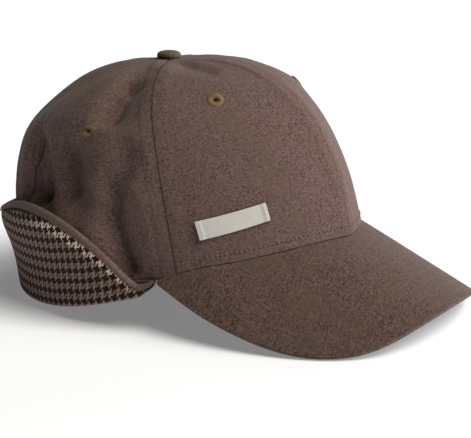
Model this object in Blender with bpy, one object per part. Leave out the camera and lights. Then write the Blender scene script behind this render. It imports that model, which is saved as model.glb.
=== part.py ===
"""Six-panel cap with a brim in front and a houndstooth earflap turned up round its back.

Units are metres, +Z is up and the brim points along -Y. The shape is worked out in the cap's
own frame, whose plane z = 0 holds the rim at the sides and back. Each point is then tipped
and lifted so that the brim's corners and the fold of the flap stand on the plane z = 0, and
moved along Y so that the origin lies under the middle of the whole cap.
"""
import bpy
import bmesh
import numpy as np
from math import atan2, cos, pi, radians, sin

# Driving sizes
HALF_WIDTH = 0.086
FRONT_REACH = 0.100
BACK_REACH = 0.095
CROWN_HEIGHT = 0.101
CROWN_WALL = 0.0018
TOP_SHIFT = 0.003
FRONT_RIM_RISE = 0.0091
BACK_FULLNESS = 2.0
SEAM_DIP = 0.0005
SEAM_DIP_WIDTH = 0.0025
TOP_LEAN = 0.020
BUTTON_SINK = 0.0020
BUTTON_SINK_RADIUS = 0.0100

BRIM_HALF_WIDTH = 0.0836
BRIM_LENGTH = 0.119
BRIM_THICKNESS = 0.0028
BRIM_DROP = 0.54
BRIM_BEND_RADIUS = 0.100
BRIM_BEND_FLARE = 1.33
BRIM_BEND_POWER = 2.335

FLAP_HEIGHT = 0.0370
FLAP_FOLD = 0.0168
FLAP_STAND_OFF = 0.0050
FOLD_HALF_WIDTH = 0.0016
FLAP_SHELL_WALL = 0.0010
FLAP_LINING_WALL = 0.0013
BINDING_WALL = 0.0010
BINDING_HEIGHT = 0.0038

BUTTON_RADIUS = 0.0069
BUTTON_HEIGHT = 0.0052
BUTTON_PIN_RADIUS = 0.0015
BUTTON_PIN_LENGTH = 0.0030
BUTTON_LEAN = radians(5.0)
TOP_HOLE_RADIUS = 0.0030

EYELET_RADIUS = 0.0043
EYELET_HOLE_RADIUS = 0.0014
EYELET_HEIGHT = 0.0006
CLOTH_HOLE_RADIUS = 0.0017

LABEL_LENGTH = 0.0355
LABEL_HEIGHT = 0.0090
LABEL_THICKNESS = 0.0008

# Clearances: between sewn pieces, and how far the fold is pressed flat by the ground
GAP = 0.0003
GROUND_PRESS = 0.0008

# How far along the sides, from the middle of the head forward, the rim starts to rise to the
# brim and over what run it does so, as shares of FRONT_REACH
RIM_RISE_START = 0.34
RIM_RISE_RUN = 0.25

# The crown's outward direction leans up less than an ellipsoid's by this factor
CROWN_LEAN = 2.0

# The way from the rim to the button over the cloth, as a share of CROWN_HEIGHT; the part of a
# fold's depth that its edges push out as ridges; and how fast it fades with distance
CROWN_ARC = 1.5
FOLD_RIDGE = 0.45
FOLD_FADE = 0.8

# Share of the brim's half width past which its edge line drops to the rim plane
BRIM_END_START = 0.75

# Share of the way up at which the panels have their last row of points before the button
LAST_ROW_UP = 0.955

# The binding's leg as a share of a short standing side, and of its own length where it stops;
# its rounded top as shares of BINDING_WALL
BINDING_LEG_SHARE = 0.55
BINDING_FOOT_SHARE = 0.92
BINDING_SHOULDER_OUT = 0.7
BINDING_SHOULDER_UP = 0.3

# Places, as angles round the head (0 in front, positive on the wearer's left) and as shares
# of the way up from the rim (0) to the button (1)
BRIM_END_ANGLE = 65.5
FLAP_END_ANGLE = 66.3
LABEL_ANGLE = -42.6
LABEL_UP = 0.112
LABEL_TILT = radians(6.0)

# Crown sections from the rim to the button, evenly spaced along the way up. Height is a
# share of CROWN_HEIGHT, front, side and back are shares of the three reaches, and fullness
# is the power of the front half's outline: 2 is an ellipse, less draws it to a ridge.
# height, front, side, back, fullness
CROWN_SECTIONS = (
    (0.000, 1.000, 1.000, 1.000, 1.77),
    (0.250, 0.975, 0.995, 0.998, 1.69),
    (0.465, 0.920, 0.965, 0.972, 1.63),
    (0.650, 0.835, 0.910, 0.880, 1.61),
    (0.800, 0.710, 0.812, 0.715, 1.64),
    (0.910, 0.550, 0.645, 0.515, 1.73),
    (0.975, 0.340, 0.385, 0.320, 1.85),
    (1.000, 0.000, 0.000, 0.000, 2.00),
)

# Dents and folds of the crown. Each runs from a top to a foot, given by angle and share of
# the way up, and its half width and depth are shares of HALF_WIDTH. A depth below 0 is a swell.
# top angle, top up, foot angle, foot up, half width, depth
CROWN_FOLDS = (
    (-71, 0.79, -70, 0.55, 0.080, 0.042),
    (-73, 0.25, -70, 0.00, 0.070, 0.042),
    (-91, 0.42, -90, 0.18, 0.080, 0.034),
    (-118, 0.74, -136, 0.60, 0.160, 0.044),
    (-158, 0.94, -138, 0.84, 0.150, -0.014),
    (18, 0.66, 34, 0.60, 0.120, -0.018),
    (-106, 0.36, -108, 0.08, 0.070, 0.020),
    (-118, 0.46, -119, 0.06, 0.070, 0.024),
    (-133, 0.40, -131, 0.06, 0.075, 0.018),
    (-148, 0.36, -152, 0.05, 0.080, 0.020),
    (-167, 0.36, -168, 0.04, 0.075, 0.016),
    (66, 0.74, 74, 0.52, 0.080, 0.022),
    (71, 0.24, 69, 0.00, 0.070, 0.026),
    (97, 0.36, 93, 0.08, 0.090, 0.018),
    (114, 0.44, 116, 0.06, 0.075, 0.022),
    (131, 0.38, 134, 0.06, 0.075, 0.018),
    (150, 0.35, 152, 0.05, 0.080, 0.020),
    (171, 0.38, 169, 0.05, 0.070, 0.016),
)

# Half of the brim's outline from its middle to its end, evenly spaced round the edge.
# half-width share, reach share
BRIM_OUTLINE = (
    (0.000, 1.000),
    (0.250, 0.988),
    (0.430, 0.949),
    (0.580, 0.900),
    (0.705, 0.828),
    (0.810, 0.728),
    (0.892, 0.607),
    (0.952, 0.452),
    (0.982, 0.242),
    (0.935, 0.000),
)

# The flap from its front end to the middle of the back. Angle is how far round the head a
# row lies; edge and fold are the heights of the free edge above the rim and of the fold
# below it, as shares of FLAP_HEIGHT and FLAP_FOLD; stand is the share of FLAP_STAND_OFF.
# angle, edge, fold, stand
FLAP_SECTIONS = (
    (67, -0.02, 0.32, 0.20),
    (70, -0.10, 0.48, 0.24),
    (73, 0.03, 0.54, 0.26),
    (78, 0.28, 0.63, 0.32),
    (84, 0.51, 0.73, 0.38),
    (90, 0.68, 0.81, 0.46),
    (96, 0.82, 0.89, 0.56),
    (102, 0.93, 0.96, 0.68),
    (108, 0.99, 1.00, 0.82),
    (114, 1.00, 1.02, 0.93),
    (121, 0.95, 1.02, 1.00),
    (132, 0.82, 0.97, 1.00),
    (144, 0.74, 0.91, 0.96),
    (161, 0.70, 0.86, 0.93),
    (180, 0.68, 0.84, 0.92),
)

# The flap's standing side, from the fold to the free edge.
# height share, stand-off share
FLAP_PROFILE = (
    (0.00, 0.00),
    (0.20, 0.06),
    (0.40, 0.20),
    (0.60, 0.56),
    (0.78, 1.08),
    (0.90, 1.16),
    (1.00, 0.90),
)

# Turns round the fold at which its section has a point; the middle two make its flat foot
FOLD_TURNS = (38, 74, 106, 142)

# Eyelets: name, panel, angle and share of the way up. The soft cloth has drawn them oval:
# their reach round the head and up it are shares of EYELET_RADIUS.
# name, panel, angle, up, round share, up share
EYELETS = (
    ("eyelet_front_right", "front_right_panel", -37.0, 0.570, 1.00, 0.92),
    ("eyelet_front_left", "front_left_panel", 37.0, 0.570, 1.00, 0.92),
    ("eyelet_side_right", "side_right_panel", -86.5, 0.487, 1.08, 0.68),
    ("eyelet_side_left", "side_left_panel", 86.5, 0.487, 1.08, 0.68),
    ("eyelet_back_right", "back_right_panel", -155.0, 0.500, 1.04, 0.80),
    ("eyelet_back_left", "back_left_panel", 155.0, 0.500, 1.04, 0.80),
)

# Panels: name, angle of one seam, angle of the other, cells across, cells up
PANELS = (
    ("front_right_panel", -60, 0, 10, 13),
    ("front_left_panel", 0, 60, 10, 13),
    ("side_right_panel", -120, -60, 12, 14),
    ("side_left_panel", 60, 120, 12, 14),
    ("back_right_panel", -180, -120, 12, 14),
    ("back_left_panel", 120, 180, 12, 14),
)

# The button's cover, as shares of BUTTON_RADIUS and BUTTON_HEIGHT
# radius share, height share
BUTTON_PROFILE = (
    (0.88, 0.00),
    (1.00, 0.24),
    (0.98, 0.60),
    (0.80, 0.88),
    (0.42, 1.00),
)

# An eyelet's thread ring, from the hole's edge (0) to its rim (1)
# way out, height share
EYELET_PROFILE = (
    (0.00, 0.00),
    (1.00, 0.00),
    (0.90, 0.60),
    (0.50, 1.00),
    (0.11, 0.75),
)

BRIM_CELLS_ACROSS = 22
BRIM_CELLS_OUT = 6
LABEL_CELLS_LONG = 12
LABEL_CELLS_HIGH = 3
FLAP_STATIONS = 18
FLAP_STATION_CROWDING = 1.5
RING_SIDES = 12

# Steps for slopes: degrees round the head, share of the way up, and metres
ANGLE_STEP = 0.5
UP_STEP = 0.01
SHEET_STEP = 0.001

# Finishes: red, green, blue, roughness
CLOTH = (0.125, 0.088, 0.072, 0.92)
CLOTH_LIGHT = (0.150, 0.110, 0.090, 0.90)
HOUNDSTOOTH = (0.180, 0.145, 0.120, 0.95)
THREAD = (0.330, 0.190, 0.080, 0.75)
LABEL_WEAVE = (0.560, 0.520, 0.450, 0.85)


def smooth_rows(rows, place):
    """Rows read as a smooth curve, at a place counted in rows from the first."""
    table = np.asarray(rows, float)
    last = len(table) - 1
    place = min(max(place, 0.0), float(last))
    first = min(int(place), last - 1)
    share = place - first
    start, end = table[first], table[first + 1]
    before = table[first - 1] if first > 0 else 2 * start - end
    after = table[first + 2] if first + 2 <= last else 2 * end - start
    leave, arrive = (end - before) / 2, (after - start) / 2
    square, cube = share * share, share ** 3
    return (start * (2 * cube - 3 * square + 1) + leave * (cube - 2 * square + share)
            + end * (3 * square - 2 * cube) + arrive * (cube - square))


def ease(share):
    """A soft step from 0 to 1."""
    share = min(max(share, 0.0), 1.0)
    return share * share * (3 - 2 * share)


def unit(vector):
    return vector / np.linalg.norm(vector)


# The crown


def brim_sheet_height(x, y):
    """Height of the bent brim sheet above the rim plane at a plan position."""
    across = BRIM_BEND_FLARE * abs(x)
    power = BRIM_BEND_POWER
    bend = (BRIM_BEND_RADIUS ** power + across ** power) ** (1 / power) - BRIM_BEND_RADIUS
    return FRONT_RIM_RISE - bend + BRIM_DROP * (y + FRONT_REACH)


def power_plan(angle, fullness):
    """Plan direction of a section's outline, as shares of its half width and reach."""
    turn = radians(angle)
    across, along = sin(turn), cos(turn)
    power = 2 / (fullness if along > 0 else BACK_FULLNESS)
    return (np.sign(across) * abs(across) ** power, np.sign(along) * abs(along) ** power)


def rim_height(angle):
    """The rim is flat at the sides and back and follows the brim in front."""
    across, along = power_plan(angle, CROWN_SECTIONS[0][4])
    if along <= 0:
        return 0.0
    share = ease((along - RIM_RISE_START) / RIM_RISE_RUN)
    return share * brim_sheet_height(HALF_WIDTH * across, -FRONT_REACH * along)


def bare_crown(angle, up, inset=0.0):
    """A point of the crown before its folds."""
    height, front, side, back, fullness = smooth_rows(CROWN_SECTIONS, up * (len(CROWN_SECTIONS) - 1))
    across, along = power_plan(angle, fullness)
    reach = (FRONT_REACH - inset) * front if along > 0 else (BACK_REACH - inset) * back
    x = (HALF_WIDTH - inset) * side * across
    y = -reach * along + TOP_SHIFT * height
    z = rim_height(angle) * (1 - height) + (CROWN_HEIGHT - inset) * height
    z += TOP_LEAN * (y - TOP_SHIFT) * height ** 4
    return np.array((x, y, z))


def crown_radius(angle, up):
    """Plan distance of a crown point from the line up through the button."""
    point = bare_crown(angle, up)
    height = smooth_rows(CROWN_SECTIONS, up * (len(CROWN_SECTIONS) - 1))[0]
    return np.hypot(point[0], point[1] - TOP_SHIFT * height)


def crown_outward(point):
    """Outward direction of the crown near a point of it."""
    reach = FRONT_REACH if point[1] < 0 else BACK_REACH
    return unit(np.array((point[0] / HALF_WIDTH ** 2, point[1] / reach ** 2,
                          point[2] / (CROWN_LEAN * CROWN_HEIGHT ** 2))))


def seam_dip(angle, radius):
    """Depth of the groove at the nearest seam."""
    nearest = 60 * round(angle / 60)
    away = radians(abs(angle - nearest)) * radius
    return SEAM_DIP * np.exp(-(away / SEAM_DIP_WIDTH) ** 2)


def button_sink(radius):
    """How far the button draws the top of the crown in."""
    return BUTTON_SINK * np.exp(-(radius / BUTTON_SINK_RADIUS) ** 2)


def fold_depth(angle, up, radius):
    """How far the folds draw the cloth in, less where they push a ridge out."""
    arc_length = CROWN_ARC * CROWN_HEIGHT
    depth = 0.0
    for top_angle, top_up, foot_angle, foot_up, width, deep in CROWN_FOLDS:
        top = np.array((radians(top_angle) * radius, top_up * arc_length))
        foot = np.array((radians(foot_angle) * radius, foot_up * arc_length))
        here = np.array((radians(angle) * radius, up * arc_length))
        along = foot - top
        share = min(max(np.dot(here - top, along) / np.dot(along, along), 0.0), 1.0)
        away = np.linalg.norm(here - top - share * along) / (width * HALF_WIDTH)
        depth += deep * HALF_WIDTH * (1 - FOLD_RIDGE * away ** 2) * np.exp(-FOLD_FADE * away ** 2)
    return depth


def crown(angle, up, inset=0.0):
    """A point of the folded crown; inset moves it into the wall."""
    point = bare_crown(angle, up, inset)
    outer = bare_crown(angle, up)
    radius = crown_radius(angle, up)
    draw_in = fold_depth(angle, up, radius) + seam_dip(angle, radius) + button_sink(radius)
    return point - draw_in * crown_outward(outer)


def crown_frame(angle, up):
    """A point of the outer crown with its two tangents and its outward normal."""
    here = crown(angle, up)
    round_way = unit(crown(angle + ANGLE_STEP, up) - crown(angle - ANGLE_STEP, up))
    upward = crown(angle, up + UP_STEP) - crown(angle, up - UP_STEP)
    outward = unit(np.cross(round_way, upward))
    return here, round_way, unit(np.cross(outward, round_way)), outward


# The brim


def rim_out(angle):
    """Level outward direction of the rim at an angle."""
    side = bare_crown(angle + ANGLE_STEP, 0.0) - bare_crown(angle - ANGLE_STEP, 0.0)
    return unit(np.array((side[1], -side[0], 0.0)))


def brim_edge(share):
    """Plan position of the brim's edge, from -1 at its right end to 1 at its left."""
    other_half = [(-width, reach) for width, reach in reversed(BRIM_OUTLINE[1:])]
    width, reach = smooth_rows((*other_half, *BRIM_OUTLINE), (share + 1) * len(other_half))
    end_line = bare_crown(BRIM_END_ANGLE, 0.0)[1]
    return BRIM_HALF_WIDTH * width, end_line - BRIM_LENGTH * reach


def brim_top(share, out):
    """Top of the brim from 0 at the rim to 1 at the edge; below 0 is under the wall."""
    angle = share * BRIM_END_ANGLE
    root = bare_crown(angle, 0.0)
    if out < 0:
        return root - rim_out(angle) * CROWN_WALL - np.array((0, 0, GAP))
    edge_x, edge_y = brim_edge(share)
    x = root[0] + (edge_x - root[0]) * out
    y = root[1] + (edge_y - root[1]) * out
    step_at_root = root[2] - brim_sheet_height(root[0], root[1])
    step_at_edge = step_at_root * ease((abs(share) - BRIM_END_START) / (1 - BRIM_END_START))
    step = step_at_root + (step_at_edge - step_at_root) * out
    return np.array((x, y, brim_sheet_height(x, y) + step - GAP))


def brim_up(x, y):
    """Upward normal of the brim sheet."""
    climb = brim_sheet_height(x + SHEET_STEP, y) - brim_sheet_height(x - SHEET_STEP, y)
    return unit(np.array((-climb / (2 * SHEET_STEP), -BRIM_DROP, 1.0)))


# The turned-up flap


def flap_section(angle):
    """Edge height, fold drop and stand-off at an angle, in metres."""
    turn = abs(angle)
    angles = [row[0] for row in FLAP_SECTIONS]
    row = 0
    while row < len(angles) - 2 and angles[row + 1] < turn:
        row += 1
    place = row + (turn - angles[row]) / (angles[row + 1] - angles[row])
    _, edge, fold, stand = smooth_rows(FLAP_SECTIONS, place)
    return edge * FLAP_HEIGHT, fold * FLAP_FOLD, stand * FLAP_STAND_OFF


def flap_path(angle):
    """The line between shell and lining across the flap: pairs of outward and height."""
    edge, fold, stand = flap_section(angle)
    hang = -CROWN_WALL + FLAP_SHELL_WALL / 2
    centre = hang + FOLD_HALF_WIDTH
    low = -fold + FOLD_HALF_WIDTH + GAP / 2 + FLAP_LINING_WALL
    path = [(hang, -GAP), (hang, low)]
    for turn in FOLD_TURNS:
        path.append((centre - FOLD_HALF_WIDTH * cos(radians(turn)),
                     low - FOLD_HALF_WIDTH * sin(radians(turn))))
    foot_share = 1 - binding_leg(edge, low) / (edge - low)
    standing = [foot_share * row[0] for row in FLAP_PROFILE] + [1.0]
    for height_share in standing:
        stand_share = np.interp(height_share, *zip(*FLAP_PROFILE))
        path.append((centre + FOLD_HALF_WIDTH + stand * stand_share,
                     low + (edge - low) * height_share))
    return np.array(path)


def binding_leg(edge, low):
    """How far the binding reaches down the standing side, less where that is short."""
    return min(BINDING_HEIGHT, BINDING_LEG_SHARE * (edge - low))


def path_normals(path):
    """Unit normals of a section path, pointing to the outside of the fold."""
    normals = []
    for place in range(len(path)):
        before = path[max(place - 1, 0)]
        after = path[min(place + 1, len(path) - 1)]
        along = unit(after - before)
        normals.append((along[1], -along[0]))
    return np.array(normals)


def flap_layer(angle, inner_offset, outer_offset):
    """A closed ring of section points for one layer of the flap."""
    path = flap_path(angle)
    normals = path_normals(path)
    outside = path + normals * outer_offset
    inside = path + normals * inner_offset
    return np.vstack((outside, inside[::-1]))


def binding_section(angle):
    """A closed ring of section points for the binding over the free edge."""
    path = flap_path(angle)
    along = unit(path[-1] - path[-2])
    outward = np.array((along[1], -along[0]))
    outer = GAP / 2 + FLAP_LINING_WALL + GAP
    inner = -(GAP / 2 + FLAP_SHELL_WALL + GAP)
    top = path[-1] + along * GAP
    foot = path[-1] - BINDING_FOOT_SHARE * (path[-1] - path[-2])
    crest = BINDING_WALL * along
    shoulder_out = BINDING_SHOULDER_OUT * BINDING_WALL
    shoulder = top + BINDING_SHOULDER_UP * crest
    return np.array((
        foot + outward * outer,
        top + outward * outer,
        top + outward * inner,
        foot + outward * inner,
        foot + outward * (inner - BINDING_WALL),
        shoulder + outward * (inner - shoulder_out),
        top + outward * (inner + outer) / 2 + crest,
        shoulder + outward * (outer + shoulder_out),
        foot + outward * (outer + BINDING_WALL),
    ))


def flap_point(angle, out, height):
    """A point of the flap from its section values."""
    root = bare_crown(angle, 0.0)
    return root + rim_out(angle) * out + np.array((0, 0, height))


# How the cap stands


def tipped(point, tilt):
    """A cap-frame point after the front has been raised by the tilt."""
    return np.array((point[0], point[1] * cos(tilt) + point[2] * sin(tilt),
                     -point[1] * sin(tilt) + point[2] * cos(tilt)))


def brim_low_point(tilt):
    """Lowest point of the brim's underside once the cap is tipped."""
    edge = [brim_top(share, 1.0) for share in np.linspace(0.0, 1.0, 41)]
    under = [tipped(top - BRIM_THICKNESS * brim_up(top[0], top[1]), tilt) for top in edge]
    return min(under, key=lambda point: point[2])


def flap_low_point(tilt):
    """Lowest point of the flap's fold once the cap is tipped."""
    fold = [flap_point(angle, 0.0, -flap_section(angle)[1]) for angle in range(100, 181, 4)]
    return min((tipped(point, tilt) for point in fold), key=lambda point: point[2])


def standing_tilt():
    """The tilt at which the brim's corners and the flap's fold are level."""
    tilt = 0.0
    for _ in range(12):
        brim = brim_low_point(tilt)
        flap = flap_low_point(tilt)
        tilt += atan2(flap[2] + GROUND_PRESS - brim[2], flap[1] - brim[1])
    return tilt


TILT = standing_tilt()
LIFT = -flap_low_point(TILT)[2] - GROUND_PRESS
FRONT_END = tipped(brim_top(0.0, 1.0), TILT)[1]
BACK_END = max(tipped(flap_point(180, *point), TILT)[1] for point in binding_section(180))
MIDDLE = (FRONT_END + BACK_END) / 2


def placed(point, floor=0.0):
    """A cap-frame point in the standing cap, kept at or above a height over the ground."""
    x, y, z = tipped(point, TILT)
    return (x, y - MIDDLE, max(z + LIFT, floor))


# Objects


def finish(name, colour):
    """A plain cloth material."""
    material = bpy.data.materials.new(name)
    material.use_nodes = True
    shader = material.node_tree.nodes["Principled BSDF"]
    shader.inputs["Base Color"].default_value = (*colour[:3], 1.0)
    shader.inputs["Roughness"].default_value = colour[3]
    shader.inputs["Metallic"].default_value = 0.0
    material.diffuse_color = (*colour[:3], 1.0)
    return material


def add_object(name, points, faces, colour):
    """A mesh object from points and faces, shaded smooth with its sharp edges kept."""
    mesh = bpy.data.meshes.new(name)
    mesh.from_pydata([tuple(point) for point in points], [], faces)
    shape = bmesh.new()
    shape.from_mesh(mesh)
    bmesh.ops.triangulate(shape, faces=shape.faces, quad_method="FIXED")
    bmesh.ops.recalc_face_normals(shape, faces=shape.faces)
    shape.to_mesh(mesh)
    shape.free()
    mesh.shade_smooth()
    mesh.set_sharp_from_angle(angle=radians(40))
    mesh.materials.append(finish(name, colour))
    item = bpy.data.objects.new(name, mesh)
    bpy.context.scene.collection.objects.link(item)
    return item


def sheet_faces(columns, rows, skipped=()):
    """Faces of a sheet of vertices stored column by column."""
    faces = []
    for column in range(columns):
        for row in range(rows):
            if (column, row) in skipped:
                continue
            corner = column * (rows + 1) + row
            faces.append((corner, corner + rows + 1, corner + rows + 2, corner + 1))
    return faces


def walled(outer, inner, faces):
    """Two matching sheets joined along every open edge into one closed wall."""
    count = len(outer)
    edges = {}
    for face in faces:
        for start, end in zip(face, face[1:] + face[:1]):
            edges[(start, end)] = edges.get((start, end), 0) + 1
    rims = [edge for edge in edges if (edge[1], edge[0]) not in edges]
    closed = list(faces)
    closed += [tuple(count + vertex for vertex in reversed(face)) for face in faces]
    closed += [(end, start, start + count, end + count) for start, end in rims]
    return list(outer) + list(inner), closed


def top_row_up():
    """Share of the way up at which the panels end round the button's pin."""
    reach = CROWN_SECTIONS[-2][1] * FRONT_REACH
    return 1 - TOP_HOLE_RADIUS / (reach * (len(CROWN_SECTIONS) - 1))


def build_panel(name, first_seam, last_seam, columns, rows):
    """One crown panel: a cloth wall between two seams, with its eyelet hole."""
    eyelet = next(row for row in EYELETS if row[1] == name)
    eyelet_angle, eyelet_up = eyelet[2:4]
    top_up = top_row_up()
    hole_column = round(columns * (eyelet_angle - first_seam) / (last_seam - first_seam))
    hole_row = round(rows * eyelet_up / top_up)
    row_marks = (0, hole_row, rows - 1, rows)
    up_marks = (0.0, eyelet_up, LAST_ROW_UP, top_up)
    outer, inner = [], []
    for column in range(columns + 1):
        angle = np.interp(column, (0, hole_column, columns), (first_seam, eyelet_angle, last_seam))
        for row in range(rows + 1):
            up = np.interp(row, row_marks, up_marks)
            bent = angle
            if column in (0, columns):
                half_gap = np.degrees(GAP / 2 / crown_radius(angle, up))
                bent += half_gap if column == 0 else -half_gap
            outer.append(placed(crown(bent, up)))
            inner.append(placed(crown(bent, up, CROWN_WALL)))
    skipped = [(hole_column - side, hole_row - level) for side in (0, 1) for level in (0, 1)]
    faces = sheet_faces(columns, rows, skipped)
    faces += punch_hole(outer, inner, (hole_column, hole_row), rows, eyelet_angle, eyelet_up)
    points, closed = walled(outer, inner, faces)
    panel = add_object(name, points, closed, CLOTH)
    drop_loose_points(panel)
    return panel


def punch_hole(outer, inner, centre, rows, angle, up):
    """Add a round hole's eight points to both sheets and return the faces round it."""
    column, row = centre
    steps = ((1, 0), (1, 1), (0, 1), (-1, 1), (-1, 0), (-1, -1), (0, -1), (1, -1))
    here, round_way, upward, outward = crown_frame(angle, up)
    ring_start = len(outer)
    for side, level in steps:
        turn = atan2(level, side)
        point = here + CLOTH_HOLE_RADIUS * (round_way * cos(turn) + upward * sin(turn))
        outer.append(placed(point))
        inner.append(placed(point - outward * CROWN_WALL))
    around = [(column + side) * (rows + 1) + row + level for side, level in steps]
    return [(around[step - 1], around[step], ring_start + step, ring_start + (step - 1) % 8)
            for step in range(8)]


def drop_loose_points(item):
    """Delete points that no face uses, such as a hole's middle."""
    shape = bmesh.new()
    shape.from_mesh(item.data)
    loose = [vertex for vertex in shape.verts if not vertex.link_faces]
    bmesh.ops.delete(shape, geom=loose, context="VERTS")
    shape.to_mesh(item.data)
    shape.free()


def build_brim():
    """The brim: a stiff bent sheet whose root lies under the crown's front rim."""
    top, under = [], []
    outs = [-1.0] + [step / BRIM_CELLS_OUT for step in range(BRIM_CELLS_OUT + 1)]
    for column in range(BRIM_CELLS_ACROSS + 1):
        share = 2 * column / BRIM_CELLS_ACROSS - 1
        for out in outs:
            point = brim_top(share, out)
            top.append(placed(point))
            under.append(placed(point - BRIM_THICKNESS * brim_up(point[0], point[1])))
    points, faces = walled(top, under, sheet_faces(BRIM_CELLS_ACROSS, len(outs) - 1))
    return add_object("brim", points, faces, CLOTH_LIGHT)


def swept(name, section, colour, floor_offsets, back_from):
    """A closed band: one section ring carried from the right end round the back.

    From the place back_from on, the ring runs back down the section, and its cells are
    split along the other diagonal so that neighbouring layers stay parallel.
    """
    half_way = [(step / FLAP_STATIONS) ** FLAP_STATION_CROWDING for step in range(FLAP_STATIONS + 1)]
    right_side = [-FLAP_END_ANGLE - (180 - FLAP_END_ANGLE) * share for share in half_way]
    angles = right_side + [-angle for angle in reversed(right_side[:-1])]
    points, ring_size = [], 0
    for angle in angles:
        ring = section(angle)
        ring_size = len(ring)
        for place, (out, height) in enumerate(ring):
            floor = floor_offsets[place] if floor_offsets else 0.0
            points.append(placed(flap_point(angle, out, height), floor))
    faces = []
    for station in range(len(angles) - 1):
        for place in range(ring_size):
            after = (place + 1) % ring_size
            start, end = station * ring_size, (station + 1) * ring_size
            face = (start + place, start + after, end + after, end + place)
            faces.append(face if place < back_from else face[1:] + face[:1])
    half = ring_size // 2
    for start in (0, (len(angles) - 1) * ring_size):
        for place in range(half - 1):
            faces.append((start + place, start + place + 1,
                          start + ring_size - 2 - place, start + ring_size - 1 - place))
        if ring_size % 2:
            faces.append((start + half - 1, start + half, start + half + 1))
    return add_object(name, points, faces, colour)


def build_flap():
    """The flap's cloth shell, its houndstooth outside and the binding on its free edge."""
    count = len(flap_path(180))
    lining_floor = [0.0] * count + [FLAP_LINING_WALL] * count
    shell_base = FLAP_LINING_WALL + GAP
    shell_floor = [shell_base] * count + [shell_base + FLAP_SHELL_WALL] * count
    swept("earflap_lining", lambda angle: flap_layer(
        angle, GAP / 2, GAP / 2 + FLAP_LINING_WALL), HOUNDSTOOTH, lining_floor, count)
    swept("earflap_shell", lambda angle: flap_layer(
        angle, -GAP / 2 - FLAP_SHELL_WALL, -GAP / 2), CLOTH, shell_floor, count)
    swept("earflap_binding", binding_section, CLOTH_LIGHT, None, 2)


def spun(name, profile, centre, side, other, colour):
    """A turned piece: a closed profile of radius and height pairs carried round two reaches."""
    axis = unit(np.cross(side, other))
    points, faces = [], []
    for step in range(RING_SIDES):
        turn = 2 * pi * step / RING_SIDES
        way = side * cos(turn) + other * sin(turn)
        points += [placed(centre + way * radius + axis * height) for radius, height in profile]
    size = len(profile)
    for step in range(RING_SIDES):
        start, end = step * size, (step + 1) % RING_SIDES * size
        for place in range(size):
            after = (place + 1) % size
            faces.append((start + place, end + place, end + after, start + after))
    return add_object(name, points, faces, colour)


def build_button():
    """The covered button on the crown's top, with the pin that fastens it."""
    seat = np.array((0.0, TOP_SHIFT, button_seat()))
    cover = [(radius * BUTTON_RADIUS, height * BUTTON_HEIGHT) for radius, height in BUTTON_PROFILE]
    profile = [(BUTTON_PIN_RADIUS, -BUTTON_PIN_LENGTH), (BUTTON_PIN_RADIUS, 0.0), *cover]
    back = np.array((0.0, cos(BUTTON_LEAN), sin(BUTTON_LEAN)))
    button = spun("button", profile, seat, np.array((1.0, 0.0, 0.0)), back, CLOTH_LIGHT)
    close_poles(button, len(profile))


def button_seat():
    """Height at which the leaning button's foot clears the cloth drawn in under it."""
    foot = BUTTON_PROFILE[0][0] * BUTTON_RADIUS
    seats = []
    for angle in range(0, 360, 10):
        low, high = (crown(angle, up) for up in (top_row_up(), LAST_ROW_UP))
        reaches = [np.hypot(point[0], point[1] - TOP_SHIFT) for point in (low, high)]
        cloth = np.interp(foot, reaches, (low[2], high[2]))
        seats.append(cloth + foot * sin(BUTTON_LEAN) * cos(radians(angle)))
    return max(seats) + GAP


def close_poles(item, size):
    """Replace the inner tube between a profile's two ends with flat caps."""
    shape = bmesh.new()
    shape.from_mesh(item.data)
    shape.verts.ensure_lookup_table()
    tube = [face for face in shape.faces
            if {vertex.index % size for vertex in face.verts} == {0, size - 1}]
    bmesh.ops.delete(shape, geom=tube, context="FACES")
    bmesh.ops.holes_fill(shape, edges=shape.edges, sides=RING_SIDES)
    bmesh.ops.triangulate(shape, faces=shape.faces)
    bmesh.ops.recalc_face_normals(shape, faces=shape.faces)
    shape.to_mesh(item.data)
    shape.free()


def build_eyelets():
    """The sewn thread rings round the air holes."""
    ring = EYELET_RADIUS - EYELET_HOLE_RADIUS
    profile = [(EYELET_HOLE_RADIUS + way_out * ring, GAP + height * EYELET_HEIGHT)
               for way_out, height in EYELET_PROFILE]
    for name, _, angle, up, round_share, up_share in EYELETS:
        here, round_way, upward, _ = crown_frame(angle, up)
        spun(name, profile, here, round_way * round_share, upward * up_share, THREAD)


def build_label():
    """The bare woven label sewn above the brim on the wearer's right."""
    here = crown(LABEL_ANGLE, LABEL_UP)
    per_angle = np.linalg.norm(crown(LABEL_ANGLE + ANGLE_STEP, LABEL_UP) - here) / ANGLE_STEP
    per_up = np.linalg.norm(crown(LABEL_ANGLE, LABEL_UP + UP_STEP) - here) / UP_STEP
    front, back = [], []
    for column in range(LABEL_CELLS_LONG + 1):
        for row in range(LABEL_CELLS_HIGH + 1):
            along = LABEL_LENGTH * (column / LABEL_CELLS_LONG - 0.5)
            above = LABEL_HEIGHT * (row / LABEL_CELLS_HIGH - 0.5)
            angle = LABEL_ANGLE + (along * cos(LABEL_TILT) - above * sin(LABEL_TILT)) / per_angle
            up = LABEL_UP + (along * sin(LABEL_TILT) + above * cos(LABEL_TILT)) / per_up
            point, _, _, outward = crown_frame(angle, up)
            back.append(placed(point + outward * GAP))
            front.append(placed(point + outward * (GAP + LABEL_THICKNESS)))
    points, faces = walled(front, back, sheet_faces(LABEL_CELLS_LONG, LABEL_CELLS_HIGH))
    return add_object("label", points, faces, LABEL_WEAVE)


for old in list(bpy.data.objects):
    bpy.data.objects.remove(old, do_unlink=True)
for panel in PANELS:
    build_panel(*panel)
build_brim()
build_flap()
build_button()
build_eyelets()
build_label()
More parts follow.
